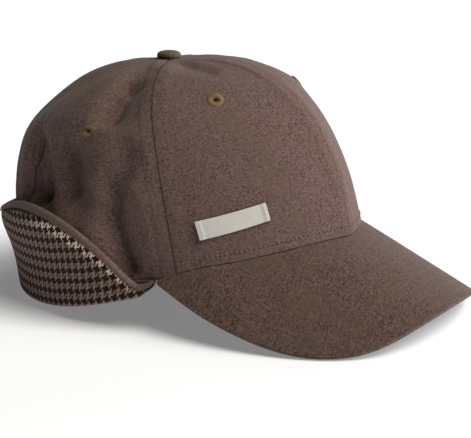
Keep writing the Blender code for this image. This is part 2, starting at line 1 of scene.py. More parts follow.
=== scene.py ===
"""An earflap cap dressed in its cloth: marled twill, houndstooth wool, thread and woven tape."""
import bpy
import bmesh
import numpy as np
from math import cos, pi, radians, sin, tau
from mathutils import Matrix, Vector
from mathutils.bvhtree import BVHTree
from mathutils.noise import noise as wave_field


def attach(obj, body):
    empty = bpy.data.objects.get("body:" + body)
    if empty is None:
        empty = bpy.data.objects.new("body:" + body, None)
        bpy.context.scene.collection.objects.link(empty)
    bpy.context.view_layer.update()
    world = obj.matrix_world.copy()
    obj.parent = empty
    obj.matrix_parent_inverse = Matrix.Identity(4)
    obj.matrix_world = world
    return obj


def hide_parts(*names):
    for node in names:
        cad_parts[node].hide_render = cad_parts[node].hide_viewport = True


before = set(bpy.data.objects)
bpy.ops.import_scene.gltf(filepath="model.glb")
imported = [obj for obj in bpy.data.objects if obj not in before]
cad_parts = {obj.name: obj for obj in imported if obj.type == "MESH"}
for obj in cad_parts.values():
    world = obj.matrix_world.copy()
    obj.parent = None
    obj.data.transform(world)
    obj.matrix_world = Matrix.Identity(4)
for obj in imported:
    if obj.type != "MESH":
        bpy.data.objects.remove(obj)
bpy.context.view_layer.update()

# Crown
# Six gores of brown marled twill, the two front ones backed stiff and the others soft, sewn
# edge to edge with their seams pressed open. Each follows its solid's wall, with rolled edges,
# and has settled into the creases and soft waves of a cap that is worn.
MILLIMETRE = 0.001
CROWN_AXIS = Vector((0.0, 0.028, 0.0))
CROWN_HEART = np.array((0.0, 0.028, 0.035))
CROWN_ARC_RADIUS = 0.112
# each gore's middle, in degrees from the front, and its levels of subdivision
GORES = {
    "front_right_panel": (-30, 2), "front_left_panel": (30, 2),
    "side_right_panel": (-90, 3), "side_left_panel": (90, 2),
    "back_right_panel": (-150, 3), "back_left_panel": (150, 2),
}
WELD = 0.00002
SHARP_FROM = radians(38)
SQUARE_UP_TO = radians(80)
SEAM_ROLL = 0.00080

# each seam's turn from the front, in degrees, at these heights up the cap, before it tilts
CAP_TILT = radians(5.460)
CAP_LIFT = 0.022327
CAP_BACK = 0.025451
SEAM_HEIGHTS = (0.0, 0.025, 0.050, 0.075, 0.090)
SIDE_SEAM = np.array((57.8, 59.5, 61.45, 63.75, 64.7))
BACK_SEAM = np.array((122.6, 123.2, 123.6, 121.7, 119.9))
FRONT_SEAM = np.zeros(5)
SEAMS = (FRONT_SEAM, SIDE_SEAM, BACK_SEAM, FRONT_SEAM + 180, -BACK_SEAM, -SIDE_SEAM)

# painted shade in the ditch where two gores meet, whole up to the first distance and gone by the
# second, with a strength that goes by the turn from the front; both edges are drawn together to
# close the seam
SEAM_SHADE_REACH = (0.00030, 0.00075)
SEAM_SHADE_TURNS = (20, 40, 80, 100)
SEAM_SHADE_STRENGTHS = (0.40, 0.75, 0.75, 0.25)
SEAM_CLOSING = 0.00030
SEAM_GAP = (0.0003, 0.0014)

# pressed seam allowances stand up as a ridge, and the front seam as a peak, away from the button
SEAM_ALLOWANCE = 0.0058
SEAM_STEP = 0.0012
SEAM_RIDGE = 0.00036
FRONT_RIDGE = 0.00060
FRONT_TURN = 30
RIDGE_REACHES = (0.010, 0.020)
FRONT_PEAK = 0.0010
FRONT_PEAK_WIDTH = 0.012
PEAK_REACHES = (0.020, 0.045)

# beside the brim's corners the rim hangs lower, between these turns and below these heights
RIM_DROP = 0.0011
DROP_STARTS = (55, 61)
DROP_ENDS = (84, 96)
DROP_HEIGHTS = (0.020, 0.040)

# soft waves, low on the stiff front and full round the sides and back
WAVE_LENGTH = 0.021
STIFF_WAVE = 0.00022
SOFT_WAVE = 0.00075
SOFT_TURNS = (52, 80)
WAVE_HEIGHTS = (0.030, 0.055)
WAVE_REACHES = (0.006, 0.025)

# how high a crease's side ridges stand, how soon it fades, and how far it leans to one side
CREASE_RIDGE = 0.40
CREASE_FADE = 0.8
CREASE_LEAN = 2.1
# half width, depth, then the places the crease runs through, all in millimetres; a depth
# below 0 is a swell
CREASES = (
    (3.0, 1.4, ((-43.5, 25.5, 118.2), (-50.0, 23.0, 115.3))),
    (4.8, 4.0, ((-67.5, 25.0, 100.5), (-63.5, 25.6, 105.5), (-57.5, 25.8, 110.5), (-51.0, 25.5, 114.0))),
    (4.4, 2.4, ((-53.5, 24.5, 113.0), (-58.5, 24.5, 110.2), (-64.0, 24.3, 105.0), (-67.5, 23.8, 101.0))),
    (5.4, 2.0, ((-62.5, 24.5, 106.5), (-67.0, 24.0, 101.5))),
    (5.5, 4.4, ((-75.5, 7.5, 84.0), (-78.0, 10.5, 74.5))),
    (4.4, 6.0, ((-79.5, 12.6, 66.0), (-80.8, 12.4, 55.6), (-81.0, 9.8, 47.7), (-80.8, 5.8, 37.5),
                (-80.2, 2.8, 31.0))),
    (5.0, -1.2, ((-77.0, 0.0, 66.0), (-78.0, -3.0, 48.0), (-77.5, -6.5, 38.0))),
    (6.5, 6.2, ((-78.0, 45.0, 87.0), (-81.0, 43.0, 79.3), (-83.0, 41.5, 72.4), (-84.0, 40.5, 66.0))),
    (8.5, 3.6, ((-84.5, 38.0, 58.0), (-83.0, 39.5, 70.0), (-79.0, 42.5, 83.0))),
    (6.0, 7.4, ((-74.5, 66.0, 84.0), (-78.0, 62.5, 71.2), (-80.5, 60.5, 60.0))),
    (5.0, 5.0, ((-69.0, 73.5, 90.0), (-73.5, 73.5, 74.0), (-76.0, 72.5, 62.0))),
    (10.0, -3.0, ((-84.4, 39.9, 49.0), (-85.2, 28.0, 45.0), (-84.4, 16.1, 39.0), (-82.7, 7.4, 30.0))),
    (4.2, 1.8, ((-14.0, 18.4, 122.7), (-21.9, 7.3, 121.8), (-20.6, -2.4, 120.7))),
    (9.0, 1.5, ((-78.8, 53.9, 75.7), (-79.7, 22.3, 78.6))),
    (4.2, 2.6, ((45.0, 24.5, 117.4), (57.0, 22.0, 111.0), (66.0, 21.5, 102.0))),
    (4.0, 3.0, ((79.8, 13.4, 66.0), (80.8, 8.8, 52.0), (80.5, 3.5, 38.5))),
    (4.2, 2.8, ((80.0, 38.8, 84.0), (84.0, 35.5, 64.0))),
    (4.0, 2.6, ((66.0, 78.0, 80.0), (70.0, 79.0, 64.0))),
    (4.0, 2.6, ((38.0, 100.0, 80.0), (40.0, 103.0, 66.0))),
    (4.0, 2.6, ((-42.0, 99.0, 80.0), (-39.0, 103.5, 66.0))),
    (3.6, 2.2, ((4.0, 108.0, 82.0), (2.0, 110.0, 66.0))),
)

# the twill's yarns, and how far apart in the noise neighbouring yarns lie
TWILL_PITCH = 0.00058
YARN_STRIDE = 7.31
# scale across the gore, scale up it, and a place in the noise
SLUBS = ((560.0, 1600.0, 3.1), (1600.0, 560.0, 8.6))
FIBRE_SCALE = 1500.0
# how much each of these counts in the cloth's tone
WEAVE_TONE = 0.28
CROSS_SLUB_TONE = 0.16
STREAK_AND_FIBRE_TONE = 0.56
# painted shade between the threads, by each thread's height
THREAD_SHADE = 0.20
PATCH_SCALE = 40.0
RUBBED = 0.45


def linked(name, data):
    """A new object in the scene."""
    item = bpy.data.objects.new(name, data)
    bpy.context.scene.collection.objects.link(item)
    return item


def mesh_of(name, shape):
    """A mesh from a bmesh, which is freed."""
    mesh = bpy.data.meshes.new(name)
    shape.to_mesh(mesh)
    shape.free()
    return mesh


def merged_shape(node, roll=0.0):
    """A node's solid as a clean mesh of four-sided faces, its sharp edges rolled over."""
    shape = bmesh.new()
    shape.from_mesh(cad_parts[node].data)
    bmesh.ops.remove_doubles(shape, verts=shape.verts, dist=WELD)
    bmesh.ops.join_triangles(shape, faces=shape.faces, angle_face_threshold=SHARP_FROM,
                             angle_shape_threshold=SQUARE_UP_TO)
    if roll:
        sharp = [edge for edge in shape.edges if edge.is_manifold and edge.calc_face_angle() > SHARP_FROM]
        bmesh.ops.bevel(shape, geom=sharp, offset=roll, offset_type="OFFSET", segments=2,
                        profile=0.5, affect="EDGES", clamp_overlap=True, material=-1)
    return shape


def cloth_piece(name, shape, levels):
    """A mesh object subdivided into a smooth surface, with its modifier applied."""
    mesh = mesh_of(name, shape)
    item = linked(name, mesh)
    smoother = item.modifiers.new("smooth", "SUBSURF")
    smoother.levels = smoother.render_levels = levels
    smoother.use_limit_surface = False
    depsgraph = bpy.context.evaluated_depsgraph_get()
    item.data = bpy.data.meshes.new_from_object(item.evaluated_get(depsgraph))
    item.data.name = name
    item.modifiers.clear()
    item.data.shade_smooth()
    bpy.data.meshes.remove(mesh)
    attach(item, "root")
    return item


def points_of(mesh, kind="co"):
    """A mesh's vertices, or their normals, as rows of x, y and z."""
    places = np.empty(len(mesh.vertices) * 3)
    mesh.vertices.foreach_get(kind, places)
    return places.reshape(-1, 3)


def set_points(mesh, places):
    """Move a mesh's vertices to new places."""
    mesh.vertices.foreach_set("co", np.asarray(places).ravel())
    mesh.update()


def set_shares(mesh, name, shares):
    """Store a number at each vertex, for a material to read."""
    mesh.attributes.new(name, "FLOAT", "POINT").data.foreach_set("value", shares.astype("f"))


def set_uv(mesh, places):
    """Give a mesh a UV map in metres, from one place for each vertex."""
    layer = mesh.uv_layers.new(name="cloth")
    corners = np.empty(len(mesh.loops), int)
    mesh.loops.foreach_get("vertex_index", corners)
    layer.uv.foreach_set("vector", np.asarray(places)[corners].astype("f").ravel())


def gore_uv(points, middle):
    """Across and up a gore: its grain runs up the middle, as it is cut."""
    away = points - np.array(CROWN_AXIS)
    across = away[:, 0] * cos(radians(middle)) + away[:, 1] * sin(radians(middle))
    out = away[:, 0] * sin(radians(middle)) - away[:, 1] * cos(radians(middle))
    return np.stack((across, CROWN_ARC_RADIUS * np.arctan2(away[:, 2], np.maximum(out, 1e-5))), 1)


def eased(values, start, end):
    """A soft step from 0 at the start to 1 at the end."""
    share = np.clip((values - start) / (end - start), 0.0, 1.0)
    return share * share * (3 - 2 * share)


def beside_seams(points):
    """Turn, radius and distance from the nearest seam, with the way towards that seam."""
    back, up = points[:, 1] - CAP_BACK, points[:, 2] - CAP_LIFT
    depthwise = back * cos(CAP_TILT) - up * sin(CAP_TILT)
    rise = back * sin(CAP_TILT) + up * cos(CAP_TILT)
    turn = np.arctan2(points[:, 0], -depthwise)
    radius = np.hypot(points[:, 0], depthwise)
    beside = np.full(len(points), np.inf)
    towards = np.zeros((len(points), 2))
    for turns in SEAMS:
        seam = np.radians(np.interp(rise, SEAM_HEIGHTS, turns))
        across = radius * np.sin(turn - seam)
        near = (np.cos(turn - seam) > 0) & (np.abs(across) < beside)
        beside[near] = np.abs(across[near])
        inward = -np.sign(across)[:, None] * np.stack((np.cos(seam), np.sin(seam)), 1)
        towards[near] = inward[near]
    return np.degrees(np.abs(turn)), radius, beside, towards


def painted_seam_shade(points):
    """How much painted shade each point takes in the ditch of a seam: the two that frame the face take most.
    """
    round_by, _, beside, _ = beside_seams(points)
    strength = np.interp(round_by, SEAM_SHADE_TURNS, SEAM_SHADE_STRENGTHS)
    return strength * (1 - eased(beside, *SEAM_SHADE_REACH))


def creased(points, outward, half_width, depth, run):
    """How far one crease draws each point in, with a low ridge on either side."""
    stops = np.array(run) * MILLIMETRE
    away = np.full(len(points), np.inf)
    for start, end in zip(stops, stops[1:]):
        along = end - start
        share = np.clip((points - start) @ along / (along @ along), 0.0, 1.0)
        gap = points - start - share[:, None] * along
        reach = np.linalg.norm(gap, axis=1)
        side = np.cross(along / np.linalg.norm(along), outward)
        behind = np.clip((gap * side).sum(1) / np.maximum(reach, 1e-7), 0.0, 1.0)
        away = np.minimum(away, reach / (1 + (CREASE_LEAN - 1) * behind))
    away /= half_width * MILLIMETRE
    return depth * MILLIMETRE * (1 - CREASE_RIDGE * away ** 2) * np.exp(-CREASE_FADE * away ** 2)


def settled(points):
    """Points of the crown's cloth once its creases and waves have formed."""
    outward = points - CROWN_HEART
    outward /= np.linalg.norm(outward, axis=1, keepdims=True)
    draw_in = sum(creased(points, outward, *crease) for crease in CREASES)
    round_by, radius, beside, towards = beside_seams(points)
    height = STIFF_WAVE + (SOFT_WAVE - STIFF_WAVE) * eased(round_by, *SOFT_TURNS)
    height *= eased(points[:, 2], *WAVE_HEIGHTS) * eased(radius, *WAVE_REACHES)
    waves = np.array([wave_field(Vector(point) / WAVE_LENGTH) for point in points])
    in_front = round_by < FRONT_TURN
    ridge = np.where(in_front, FRONT_RIDGE, SEAM_RIDGE) * eased(radius, *RIDGE_REACHES)
    ridge *= 1 - eased(beside, SEAM_ALLOWANCE, SEAM_ALLOWANCE + SEAM_STEP)
    peak = FRONT_PEAK * np.maximum(1 - beside / FRONT_PEAK_WIDTH, 0.0) * in_front
    peak *= eased(radius, *PEAK_REACHES)
    laid = points + outward * (height * waves + ridge + peak - draw_in)[:, None]
    laid[:, :2] += towards * (SEAM_CLOSING * (1 - eased(beside, *SEAM_GAP)))[:, None]
    dropped = RIM_DROP * eased(round_by, *DROP_STARTS) * (1 - eased(round_by, *DROP_ENDS))
    laid[:, 2] -= dropped * (1 - eased(points[:, 2], *DROP_HEIGHTS))
    return laid


def feed(tree, socket, value):
    """Link a socket to a socket, or give it a number or a row of numbers."""
    if isinstance(value, bpy.types.NodeSocket):
        tree.links.new(value, socket)
    else:
        socket.default_value = value


def maths(tree, operation, *values):
    """A Math node on sockets or numbers, as its output socket."""
    node = tree.nodes.new("ShaderNodeMath")
    node.operation = operation
    for socket, value in zip(node.inputs, values):
        feed(tree, socket, value)
    return node.outputs[0]


def weighted(tree, *pairs):
    """The sum of values times their weights."""
    total = maths(tree, "MULTIPLY", *pairs[0])
    for value, weight in pairs[1:]:
        total = maths(tree, "MULTIPLY_ADD", value, weight, total)
    return total


def clipped(tree, value):
    """A value kept between 0 and 1."""
    return maths(tree, "MINIMUM", maths(tree, "MAXIMUM", value, 0.0), 1.0)


def blend_values(tree, share, low, high):
    """A value that goes from low to high with a share."""
    node = tree.nodes.new("ShaderNodeMix")
    for socket, value in zip((node.inputs[0], node.inputs[2], node.inputs[3]), (share, low, high)):
        feed(tree, socket, value)
    return node.outputs[0]


def blend_colours(tree, share, low, high, kind="MIX"):
    """A colour that goes from low to high with a share."""
    node = tree.nodes.new("ShaderNodeMix")
    node.data_type = "RGBA"
    node.blend_type = kind
    for socket, value in zip((node.inputs[0], node.inputs[6], node.inputs[7]), (share, low, high)):
        feed(tree, socket, value if isinstance(value, (bpy.types.NodeSocket, float)) else (*value, 1.0))
    return node.outputs[2]


def vector_of(tree, x, y, z=0.0):
    """A vector from three values."""
    node = tree.nodes.new("ShaderNodeCombineXYZ")
    for socket, value in zip(node.inputs, (x, y, z)):
        feed(tree, socket, value)
    return node.outputs[0]


def parts_of(tree, vector):
    """A vector's x, y and z."""
    node = tree.nodes.new("ShaderNodeSeparateXYZ")
    tree.links.new(vector, node.inputs[0])
    return node.outputs


def darkened(tree, colour, shade):
    """A colour multiplied by a shade, where 1 leaves it as it is."""
    return blend_colours(tree, 1.0, colour, vector_of(tree, shade, shade, shade), "MULTIPLY")


def noise(tree, vector, scale, detail=2.0, roughness=0.5):
    """A noise texture's value on a vector."""
    node = tree.nodes.new("ShaderNodeTexNoise")
    node.inputs["Scale"].default_value = scale
    node.inputs["Detail"].default_value = detail
    node.inputs["Roughness"].default_value = roughness
    tree.links.new(vector, node.inputs["Vector"])
    return node.outputs["Fac"]


def shares_of(tree, name):
    """The numbers stored at a mesh's vertices under a name."""
    node = tree.nodes.new("ShaderNodeAttribute")
    node.attribute_name = name
    return node.outputs["Fac"]


def new_group(name, inputs, outputs):
    """A shader node group with named sockets: name, kind and, for an input, its value."""
    tree = bpy.data.node_groups.new(name, "ShaderNodeTree")
    for label, kind, value in inputs:
        socket = tree.interface.new_socket(label, in_out="INPUT", socket_type=kind)
        if value is not None:
            socket.default_value = value
    for label, kind in outputs:
        tree.interface.new_socket(label, in_out="OUTPUT", socket_type=kind)
    return tree, tree.nodes.new("NodeGroupInput").outputs, tree.nodes.new("NodeGroupOutput").inputs


def use_group(tree, name, given):
    """A node group's outputs, with its inputs linked or given their values."""
    node = tree.nodes.new("ShaderNodeGroup")
    node.node_tree = bpy.data.node_groups[name]
    for label, value in given.items():
        feed(tree, node.inputs[label], value)
    return node.outputs


def make_twill():
    """Two-over-two twill on a UV map in metres: thread height, thread tone and what lies on top."""
    tree, given, put = new_group(
        "twill_threads",
        (("Vector", "NodeSocketVector", None), ("Pitch", "NodeSocketFloat", TWILL_PITCH),
         ("Slub", "NodeSocketFloat", 0.12)),
        (("Height", "NodeSocketFloat"), ("Tone", "NodeSocketFloat"), ("Over", "NodeSocketFloat")))
    place = parts_of(tree, given["Vector"])
    across = maths(tree, "DIVIDE", place[0], given["Pitch"])
    along = maths(tree, "DIVIDE", place[1], given["Pitch"])
    warp, weft = maths(tree, "FLOOR", across), maths(tree, "FLOOR", along)
    step = maths(tree, "FLOORED_MODULO", maths(tree, "ADD", warp, weft), 4.0)
    over = maths(tree, "LESS_THAN", step, 1.5)
    heights = []
    for side, length, start in ((across, along, 0.0), (along, across, 2.0)):
        round_side = maths(tree, "SINE", maths(tree, "MULTIPLY", maths(tree, "FRACT", side), pi))
        travel = maths(tree, "ADD", maths(tree, "SUBTRACT", step, start), maths(tree, "FRACT", length))
        arch = maths(tree, "SINE", maths(tree, "MULTIPLY", travel, pi / 2))
        heights.append(maths(tree, "MULTIPLY", round_side, maths(tree, "MULTIPLY_ADD", arch, 0.5, 0.5)))
    tree.links.new(blend_values(tree, over, heights[1], heights[0]), put["Height"])
    warp_place = vector_of(tree, maths(tree, "MULTIPLY", warp, YARN_STRIDE),
                           maths(tree, "MULTIPLY", along, given["Slub"]))
    weft_place = vector_of(tree, maths(tree, "MULTIPLY", across, given["Slub"]),
                           maths(tree, "MULTIPLY", weft, YARN_STRIDE), 4.7)
    tone = blend_values(tree, over, noise(tree, weft_place, 1.0), noise(tree, warp_place, 1.0))
    tree.links.new(tone, put["Tone"])
    tree.links.new(over, put["Over"])


def make_marl():
    """Marled twill: thread tones, slubs both ways, flecks of loose fibre, painted shade between the threads
    and soft rubbed places.
    """
    black, white = (0.0, 0.0, 0.0, 1.0), (1.0, 1.0, 1.0, 1.0)
    tree, given, put = new_group(
        "marled_twill",
        (("Vector", "NodeSocketVector", None), ("Object", "NodeSocketVector", None),
         ("Pitch", "NodeSocketFloat", TWILL_PITCH), ("Dark", "NodeSocketColor", black),
         ("Light", "NodeSocketColor", white), ("Worn", "NodeSocketColor", white),
         ("Contrast", "NodeSocketFloat", 1.0), ("Streak", "NodeSocketFloat", 0.42)),
        (("Color", "NodeSocketColor"), ("Height", "NodeSocketFloat")))
    threads = use_group(tree, "twill_threads", {"Vector": given["Vector"], "Pitch": given["Pitch"]})
    place = parts_of(tree, given["Vector"])
    slubs = []
    for across, along, start in SLUBS:
        stretched = vector_of(tree, maths(tree, "MULTIPLY", place[0], across),
                              maths(tree, "MULTIPLY", place[1], along), start)
        slubs.append(noise(tree, stretched, 1.0))
    fibre = noise(tree, given["Vector"], FIBRE_SCALE, roughness=0.6)
    grain = maths(tree, "SUBTRACT", STREAK_AND_FIBRE_TONE, given["Streak"])
    tone = weighted(tree, (threads["Tone"], WEAVE_TONE), (slubs[0], given["Streak"]),
                    (slubs[1], CROSS_SLUB_TONE), (fibre, grain))
    spread = maths(tree, "MULTIPLY", maths(tree, "SUBTRACT", tone, 0.5), given["Contrast"])
    # painted shade between the threads, by each thread's height
    depth = maths(tree, "MULTIPLY", maths(tree, "SUBTRACT", threads["Height"], 0.6), THREAD_SHADE)
    share = maths(tree, "ADD", maths(tree, "ADD", spread, 0.5), depth)
    cloth = blend_colours(tree, clipped(tree, share), given["Dark"], given["Light"])
    patch = maths(tree, "MULTIPLY_ADD", noise(tree, given["Object"], PATCH_SCALE, detail=1.0), 3.0, -1.1)
    rub = maths(tree, "MULTIPLY", clipped(tree, patch), RUBBED)
    tree.links.new(blend_colours(tree, rub, cloth, given["Worn"]), put["Color"])
    tree.links.new(weighted(tree, (threads["Height"], 1.0), (fibre, 0.5), (slubs[0], 0.8)), put["Height"])


def new_material(name, roughness, sheen, specular=0.15):
    """A material with its node tree and its shader."""
    material = bpy.data.materials.new(name)
    material.use_nodes = True
    shader = material.node_tree.nodes["Principled BSDF"]
    shader.inputs["Roughness"].default_value = roughness
    shader.inputs["Specular IOR Level"].default_value = specular
    shader.inputs["Sheen Weight"].default_value = sheen
    shader.inputs["Sheen Roughness"].default_value = 0.5
    return material, material.node_tree, shader


def add_bump(tree, shader, height, distance, strength=0.6):
    """Fine relief from a height over the surface."""
    bump = tree.nodes.new("ShaderNodeBump")
    bump.inputs["Strength"].default_value = strength
    bump.inputs["Distance"].default_value = distance
    tree.links.new(height, bump.inputs["Height"])
    tree.links.new(bump.outputs["Normal"], shader.inputs["Normal"])


def make_cloth(name, dark, light, worn, pitch=TWILL_PITCH, contrast=4.0, streak=0.34):
    """A matte cloth material over the marled twill, with painted shade along the ditches of seams."""
    material, tree, shader = new_material(name, roughness=0.92, sheen=0.08)
    places = tree.nodes.new("ShaderNodeTexCoord").outputs
    marl = use_group(tree, "marled_twill", {
        "Vector": places["UV"], "Object": places["Object"], "Pitch": pitch, "Contrast": contrast,
        "Streak": streak, "Dark": (*dark, 1.0), "Light": (*light, 1.0), "Worn": (*worn, 1.0)})
    # painted shade along the ditches of the seams
    shade = maths(tree, "SUBTRACT", 1.0, shares_of(tree, "painted_seam_shade"))
    tree.links.new(darkened(tree, marl["Color"], shade), shader.inputs["Base Color"])
    add_bump(tree, shader, marl["Height"], distance=0.00018)
    return material


make_twill()
make_marl()
crown_cloth = make_cloth("crown_twill", dark=(0.032, 0.0175, 0.015), light=(0.192, 0.121, 0.113),
                         worn=(0.108, 0.071, 0.054))
gores = []
for node, (middle, levels) in GORES.items():
    gore = cloth_piece(f"{node}_cloth", merged_shape(node, SEAM_ROLL), levels)
    gore_points = points_of(gore.data)
    set_uv(gore.data, gore_uv(gore_points, middle))
    # painted shade along the ditches of the seams, stored for the cloth to read
    set_shares(gore.data, "painted_seam_shade", painted_seam_shade(gore_points))
    set_points(gore.data, settled(gore_points))
    gore.data.materials.append(crown_cloth)
    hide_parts(node)
    gores.append(gore)

# Brim
# A stiff board bent over the brow and covered in twill like the crown's, its colours darkened as
# painted shade. The cloth is turned over its edge and grooved where rows of quilting run parallel
# to the edge.
BRIM_ROLL = 0.0009
ROW_START = 0.0050
ROW_PITCH = 0.0058
ROW_GROOVE = 0.5
GROOVE_SIDE = 9.0
OUTLINE_BINS = 121
OUTLINE_SPAN = radians(3)
OUTLINE_SLACK = 0.0002


def brim_outline(points):
    """The brim's edge in plan, from its right end round the front to its left end."""
    root = np.array((0.0, points[:, 1].max()))
    away = points[:, :2] - root
    turn = np.arctan2(away[:, 0], -away[:, 1])
    reach = np.hypot(*away.T)
    edge = [k for k in np.argsort(turn)
            if reach[k] >= reach[np.abs(turn - turn[k]) < OUTLINE_SPAN].max() - OUTLINE_SLACK]
    stops = np.linspace(-pi / 2, pi / 2, OUTLINE_BINS)
    far = np.interp(stops, turn[edge], reach[edge])
    return root + np.stack((np.sin(stops) * far, -np.cos(stops) * far), 1)


def edge_distance(places, outline):
    """How far plan places lie inside the outline."""
    best = np.full(len(places), np.inf)
    for start, end in zip(outline, outline[1:]):
        along = end - start
        share = np.clip((places - start) @ along / max(along @ along, 1e-12), 0.0, 1.0)
        best = np.minimum(best, np.linalg.norm(places - start - share[:, None] * along, axis=1))
    return best


def make_brim_cloth():
    """The brim's twill, darkened as painted shade, with grooves where the rows of stitching draw it down."""
    # the crown's twill colours, darkened as painted shade
    material = make_cloth("brim_shaded_twill", dark=(0.025, 0.0133, 0.0117), light=(0.149, 0.0913, 0.080),
                          worn=(0.090, 0.061, 0.044), contrast=5.6, streak=0.24)
    tree = material.node_tree
    marl = next(node for node in tree.nodes if node.type == "GROUP")
    bump = next(node for node in tree.nodes if node.type == "BUMP")
    inset = maths(tree, "SUBTRACT", shares_of(tree, "edge_distance"), ROW_START)
    rows = maths(tree, "DIVIDE", inset, ROW_PITCH)
    off_row = maths(tree, "ABSOLUTE", maths(tree, "SUBTRACT", rows, maths(tree, "ROUND", rows)))
    level = clipped(tree, maths(tree, "MULTIPLY", off_row, GROOVE_SIDE))
    inside = maths(tree, "GREATER_THAN", rows, -0.5)
    groove = maths(tree, "MULTIPLY", maths(tree, "SUBTRACT", level, 1.0), inside)
    height = weighted(tree, (marl.outputs["Height"], 1.0), (groove, ROW_GROOVE))
    tree.links.new(height, bump.inputs["Height"])
    return material


brim = cloth_piece("brim_cloth", merged_shape("brim", BRIM_ROLL), 3)
brim_plan = points_of(brim.data)[:, :2]
outline = brim_outline(points_of(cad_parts["brim"].data))
set_uv(brim.data, brim_plan)
set_shares(brim.data, "edge_distance", edge_distance(brim_plan, outline))
brim.data.materials.append(make_brim_cloth())
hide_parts("brim")

# Stitching
# Tonal thread: one row round the front of the rim, just above its edge, and the brim's
# quilting. Each stitch is a short rounded strand laid along its row and pulled into the cloth.
RIM_ROW_HEIGHT = 0.0042
RIM_ROW_PITCH = 0.0024
RIM_ROW_END = 57
RIM_HEIGHTS = np.arange(0.010, 0.060, 0.0005)
RIM_REACH = 0.05
ROW_COUNT = 9
ROW_SLACK = 0.97
STITCH_PITCH = 0.0025
STITCH_LENGTH = 0.0016
RIM_THREAD = 0.00042
BRIM_THREAD = 0.00020
BRIM_SINK = -0.4
MOTTLE_SCALE = 900.0
CROWN_CLEARANCE = 0.003
FAR_OUT = 0.2
DOWN = Vector((0, 0, -1))


def surface_of(items):
    """A tree of the faces of several mesh objects, for casting rays at."""
    points, faces, start = [], [], 0
    for item in items:
        points.append(points_of(item.data))
        faces += [[start + corner for corner in face.vertices] for face in item.data.polygons]
        start += len(item.data.vertices)
    return BVHTree.FromPolygons(np.vstack(points).tolist(), faces)


def make_thread(name, dark, light, roughness=0.6):
    """Spun thread with a soft mottle."""
    material, tree, shader = new_material(name, roughness, sheen=0.15, specular=0.3)
    places = tree.nodes.new("ShaderNodeTexCoord").outputs
    tone = noise(tree, places["Object"], MOTTLE_SCALE, detail=3.0)
    tree.links.new(blend_colours(tree, tone, dark, light), shader.inputs["Base Color"])
    return material


def lay_stitches(name, stitches, length, radius, material, rise=0.25):
    """One piece of strands, each from its stitch's place, direction and normal."""
    strand_shape = bmesh.new()
    bmesh.ops.create_uvsphere(strand_shape, u_segments=8, v_segments=5, radius=1.0,
                              matrix=Matrix.Rotation(pi / 2, 4, "Y"))
    strand = mesh_of("strand", strand_shape)
    shape = bmesh.new()
    for place, along, normal in stitches:
        side = normal.cross(along).normalized()
        turn = Matrix((along, side, normal)).transposed().to_4x4()
        size = Matrix.Diagonal((length / 2, radius, radius, 1.0))
        laid = strand.copy()
        laid.transform(Matrix.Translation(place + normal * radius * rise) @ turn @ size)
        shape.from_mesh(laid)
        bpy.data.meshes.remove(laid)
    bpy.data.meshes.remove(strand)
    item = linked(name, mesh_of(name, shape))
    item.data.shade_smooth()
    item.data.materials.append(material)
    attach(item, "root")


def spaced(places, pitch):
    """Places at even steps along a line, each with its direction."""
    steps = np.linalg.norm(np.diff(places, axis=0), axis=1)
    run = np.concatenate(((0.0,), np.cumsum(steps)))
    marks = np.arange(pitch / 2, run[-1], pitch)
    here, ahead = (np.stack([np.interp(at, run, column) for column in places.T], 1)
                   for at in (marks, marks + pitch / 4))
    return [(Vector(start), (Vector(end) - Vector(start)).normalized()) for start, end in zip(here, ahead)]


def stitch_on(surface, place, along):
    """A stitch's place, direction and normal where a surface is nearest."""
    near, normal, _, _ = surface.find_nearest(place)
    return near, (along - normal * along.dot(normal)).normalized(), normal


def rim_place(turn):
    """A place of the rim's row, up from the crown's lowest edge at a turn from the front."""
    out = Vector((sin(radians(turn)), -cos(radians(turn)), 0.0))
    start = CROWN_AXIS + out * FAR_OUT
    for height in RIM_HEIGHTS:
        hit = front_tree.ray_cast(start + Vector((0, 0, height)), -out)[0]
        if hit is not None and (hit - CROWN_AXIS).dot(out) > RIM_REACH:
            return front_tree.ray_cast(start + Vector((0, 0, height + RIM_ROW_HEIGHT)), -out)[0]
    return None


front_tree = surface_of(gores[:2])
rim_places = [rim_place(turn) for turn in range(-RIM_ROW_END, RIM_ROW_END + 1)]
rim_line = np.array([place for place in rim_places if place is not None])
rim_stitches = [stitch_on(front_tree, place, along) for place, along in spaced(rim_line, RIM_ROW_PITCH)]
tonal_thread = make_thread("tonal_thread", (0.066, 0.043, 0.036), (0.140, 0.097, 0.082))
lay_stitches("rim_stitching", rim_stitches, STITCH_LENGTH, RIM_THREAD, tonal_thread)

brim_tree = surface_of([brim])
crown_tree = surface_of(gores)
edge_way = np.gradient(outline, axis=0)
edge_way /= np.linalg.norm(edge_way, axis=1, keepdims=True)
quilting = []
for row in range(ROW_COUNT):
    inset = ROW_START + row * ROW_PITCH
    line = outline + np.stack((-edge_way[:, 1], edge_way[:, 0]), 1) * inset
    kept = line[edge_distance(line, outline) > inset * ROW_SLACK]
    starts = [Vector((x, y, FAR_OUT)) for x, y in kept]
    starts = [start for start in starts if crown_tree.ray_cast(start, DOWN)[0] is None]
    hits = [brim_tree.ray_cast(start, DOWN)[0] for start in starts]
    for place, along in spaced(np.array([hit for hit in hits if hit is not None]), STITCH_PITCH):
        stitch = stitch_on(brim_tree, place, along)
        if crown_tree.find_nearest(stitch[0])[3] > CROWN_CLEARANCE:
            quilting.append(stitch)
brim_thread = make_thread("brim_thread", (0.044, 0.028, 0.022), (0.105, 0.071, 0.056))
lay_stitches("brim_stitching", quilting, STITCH_LENGTH, BRIM_THREAD, brim_thread, BRIM_SINK)

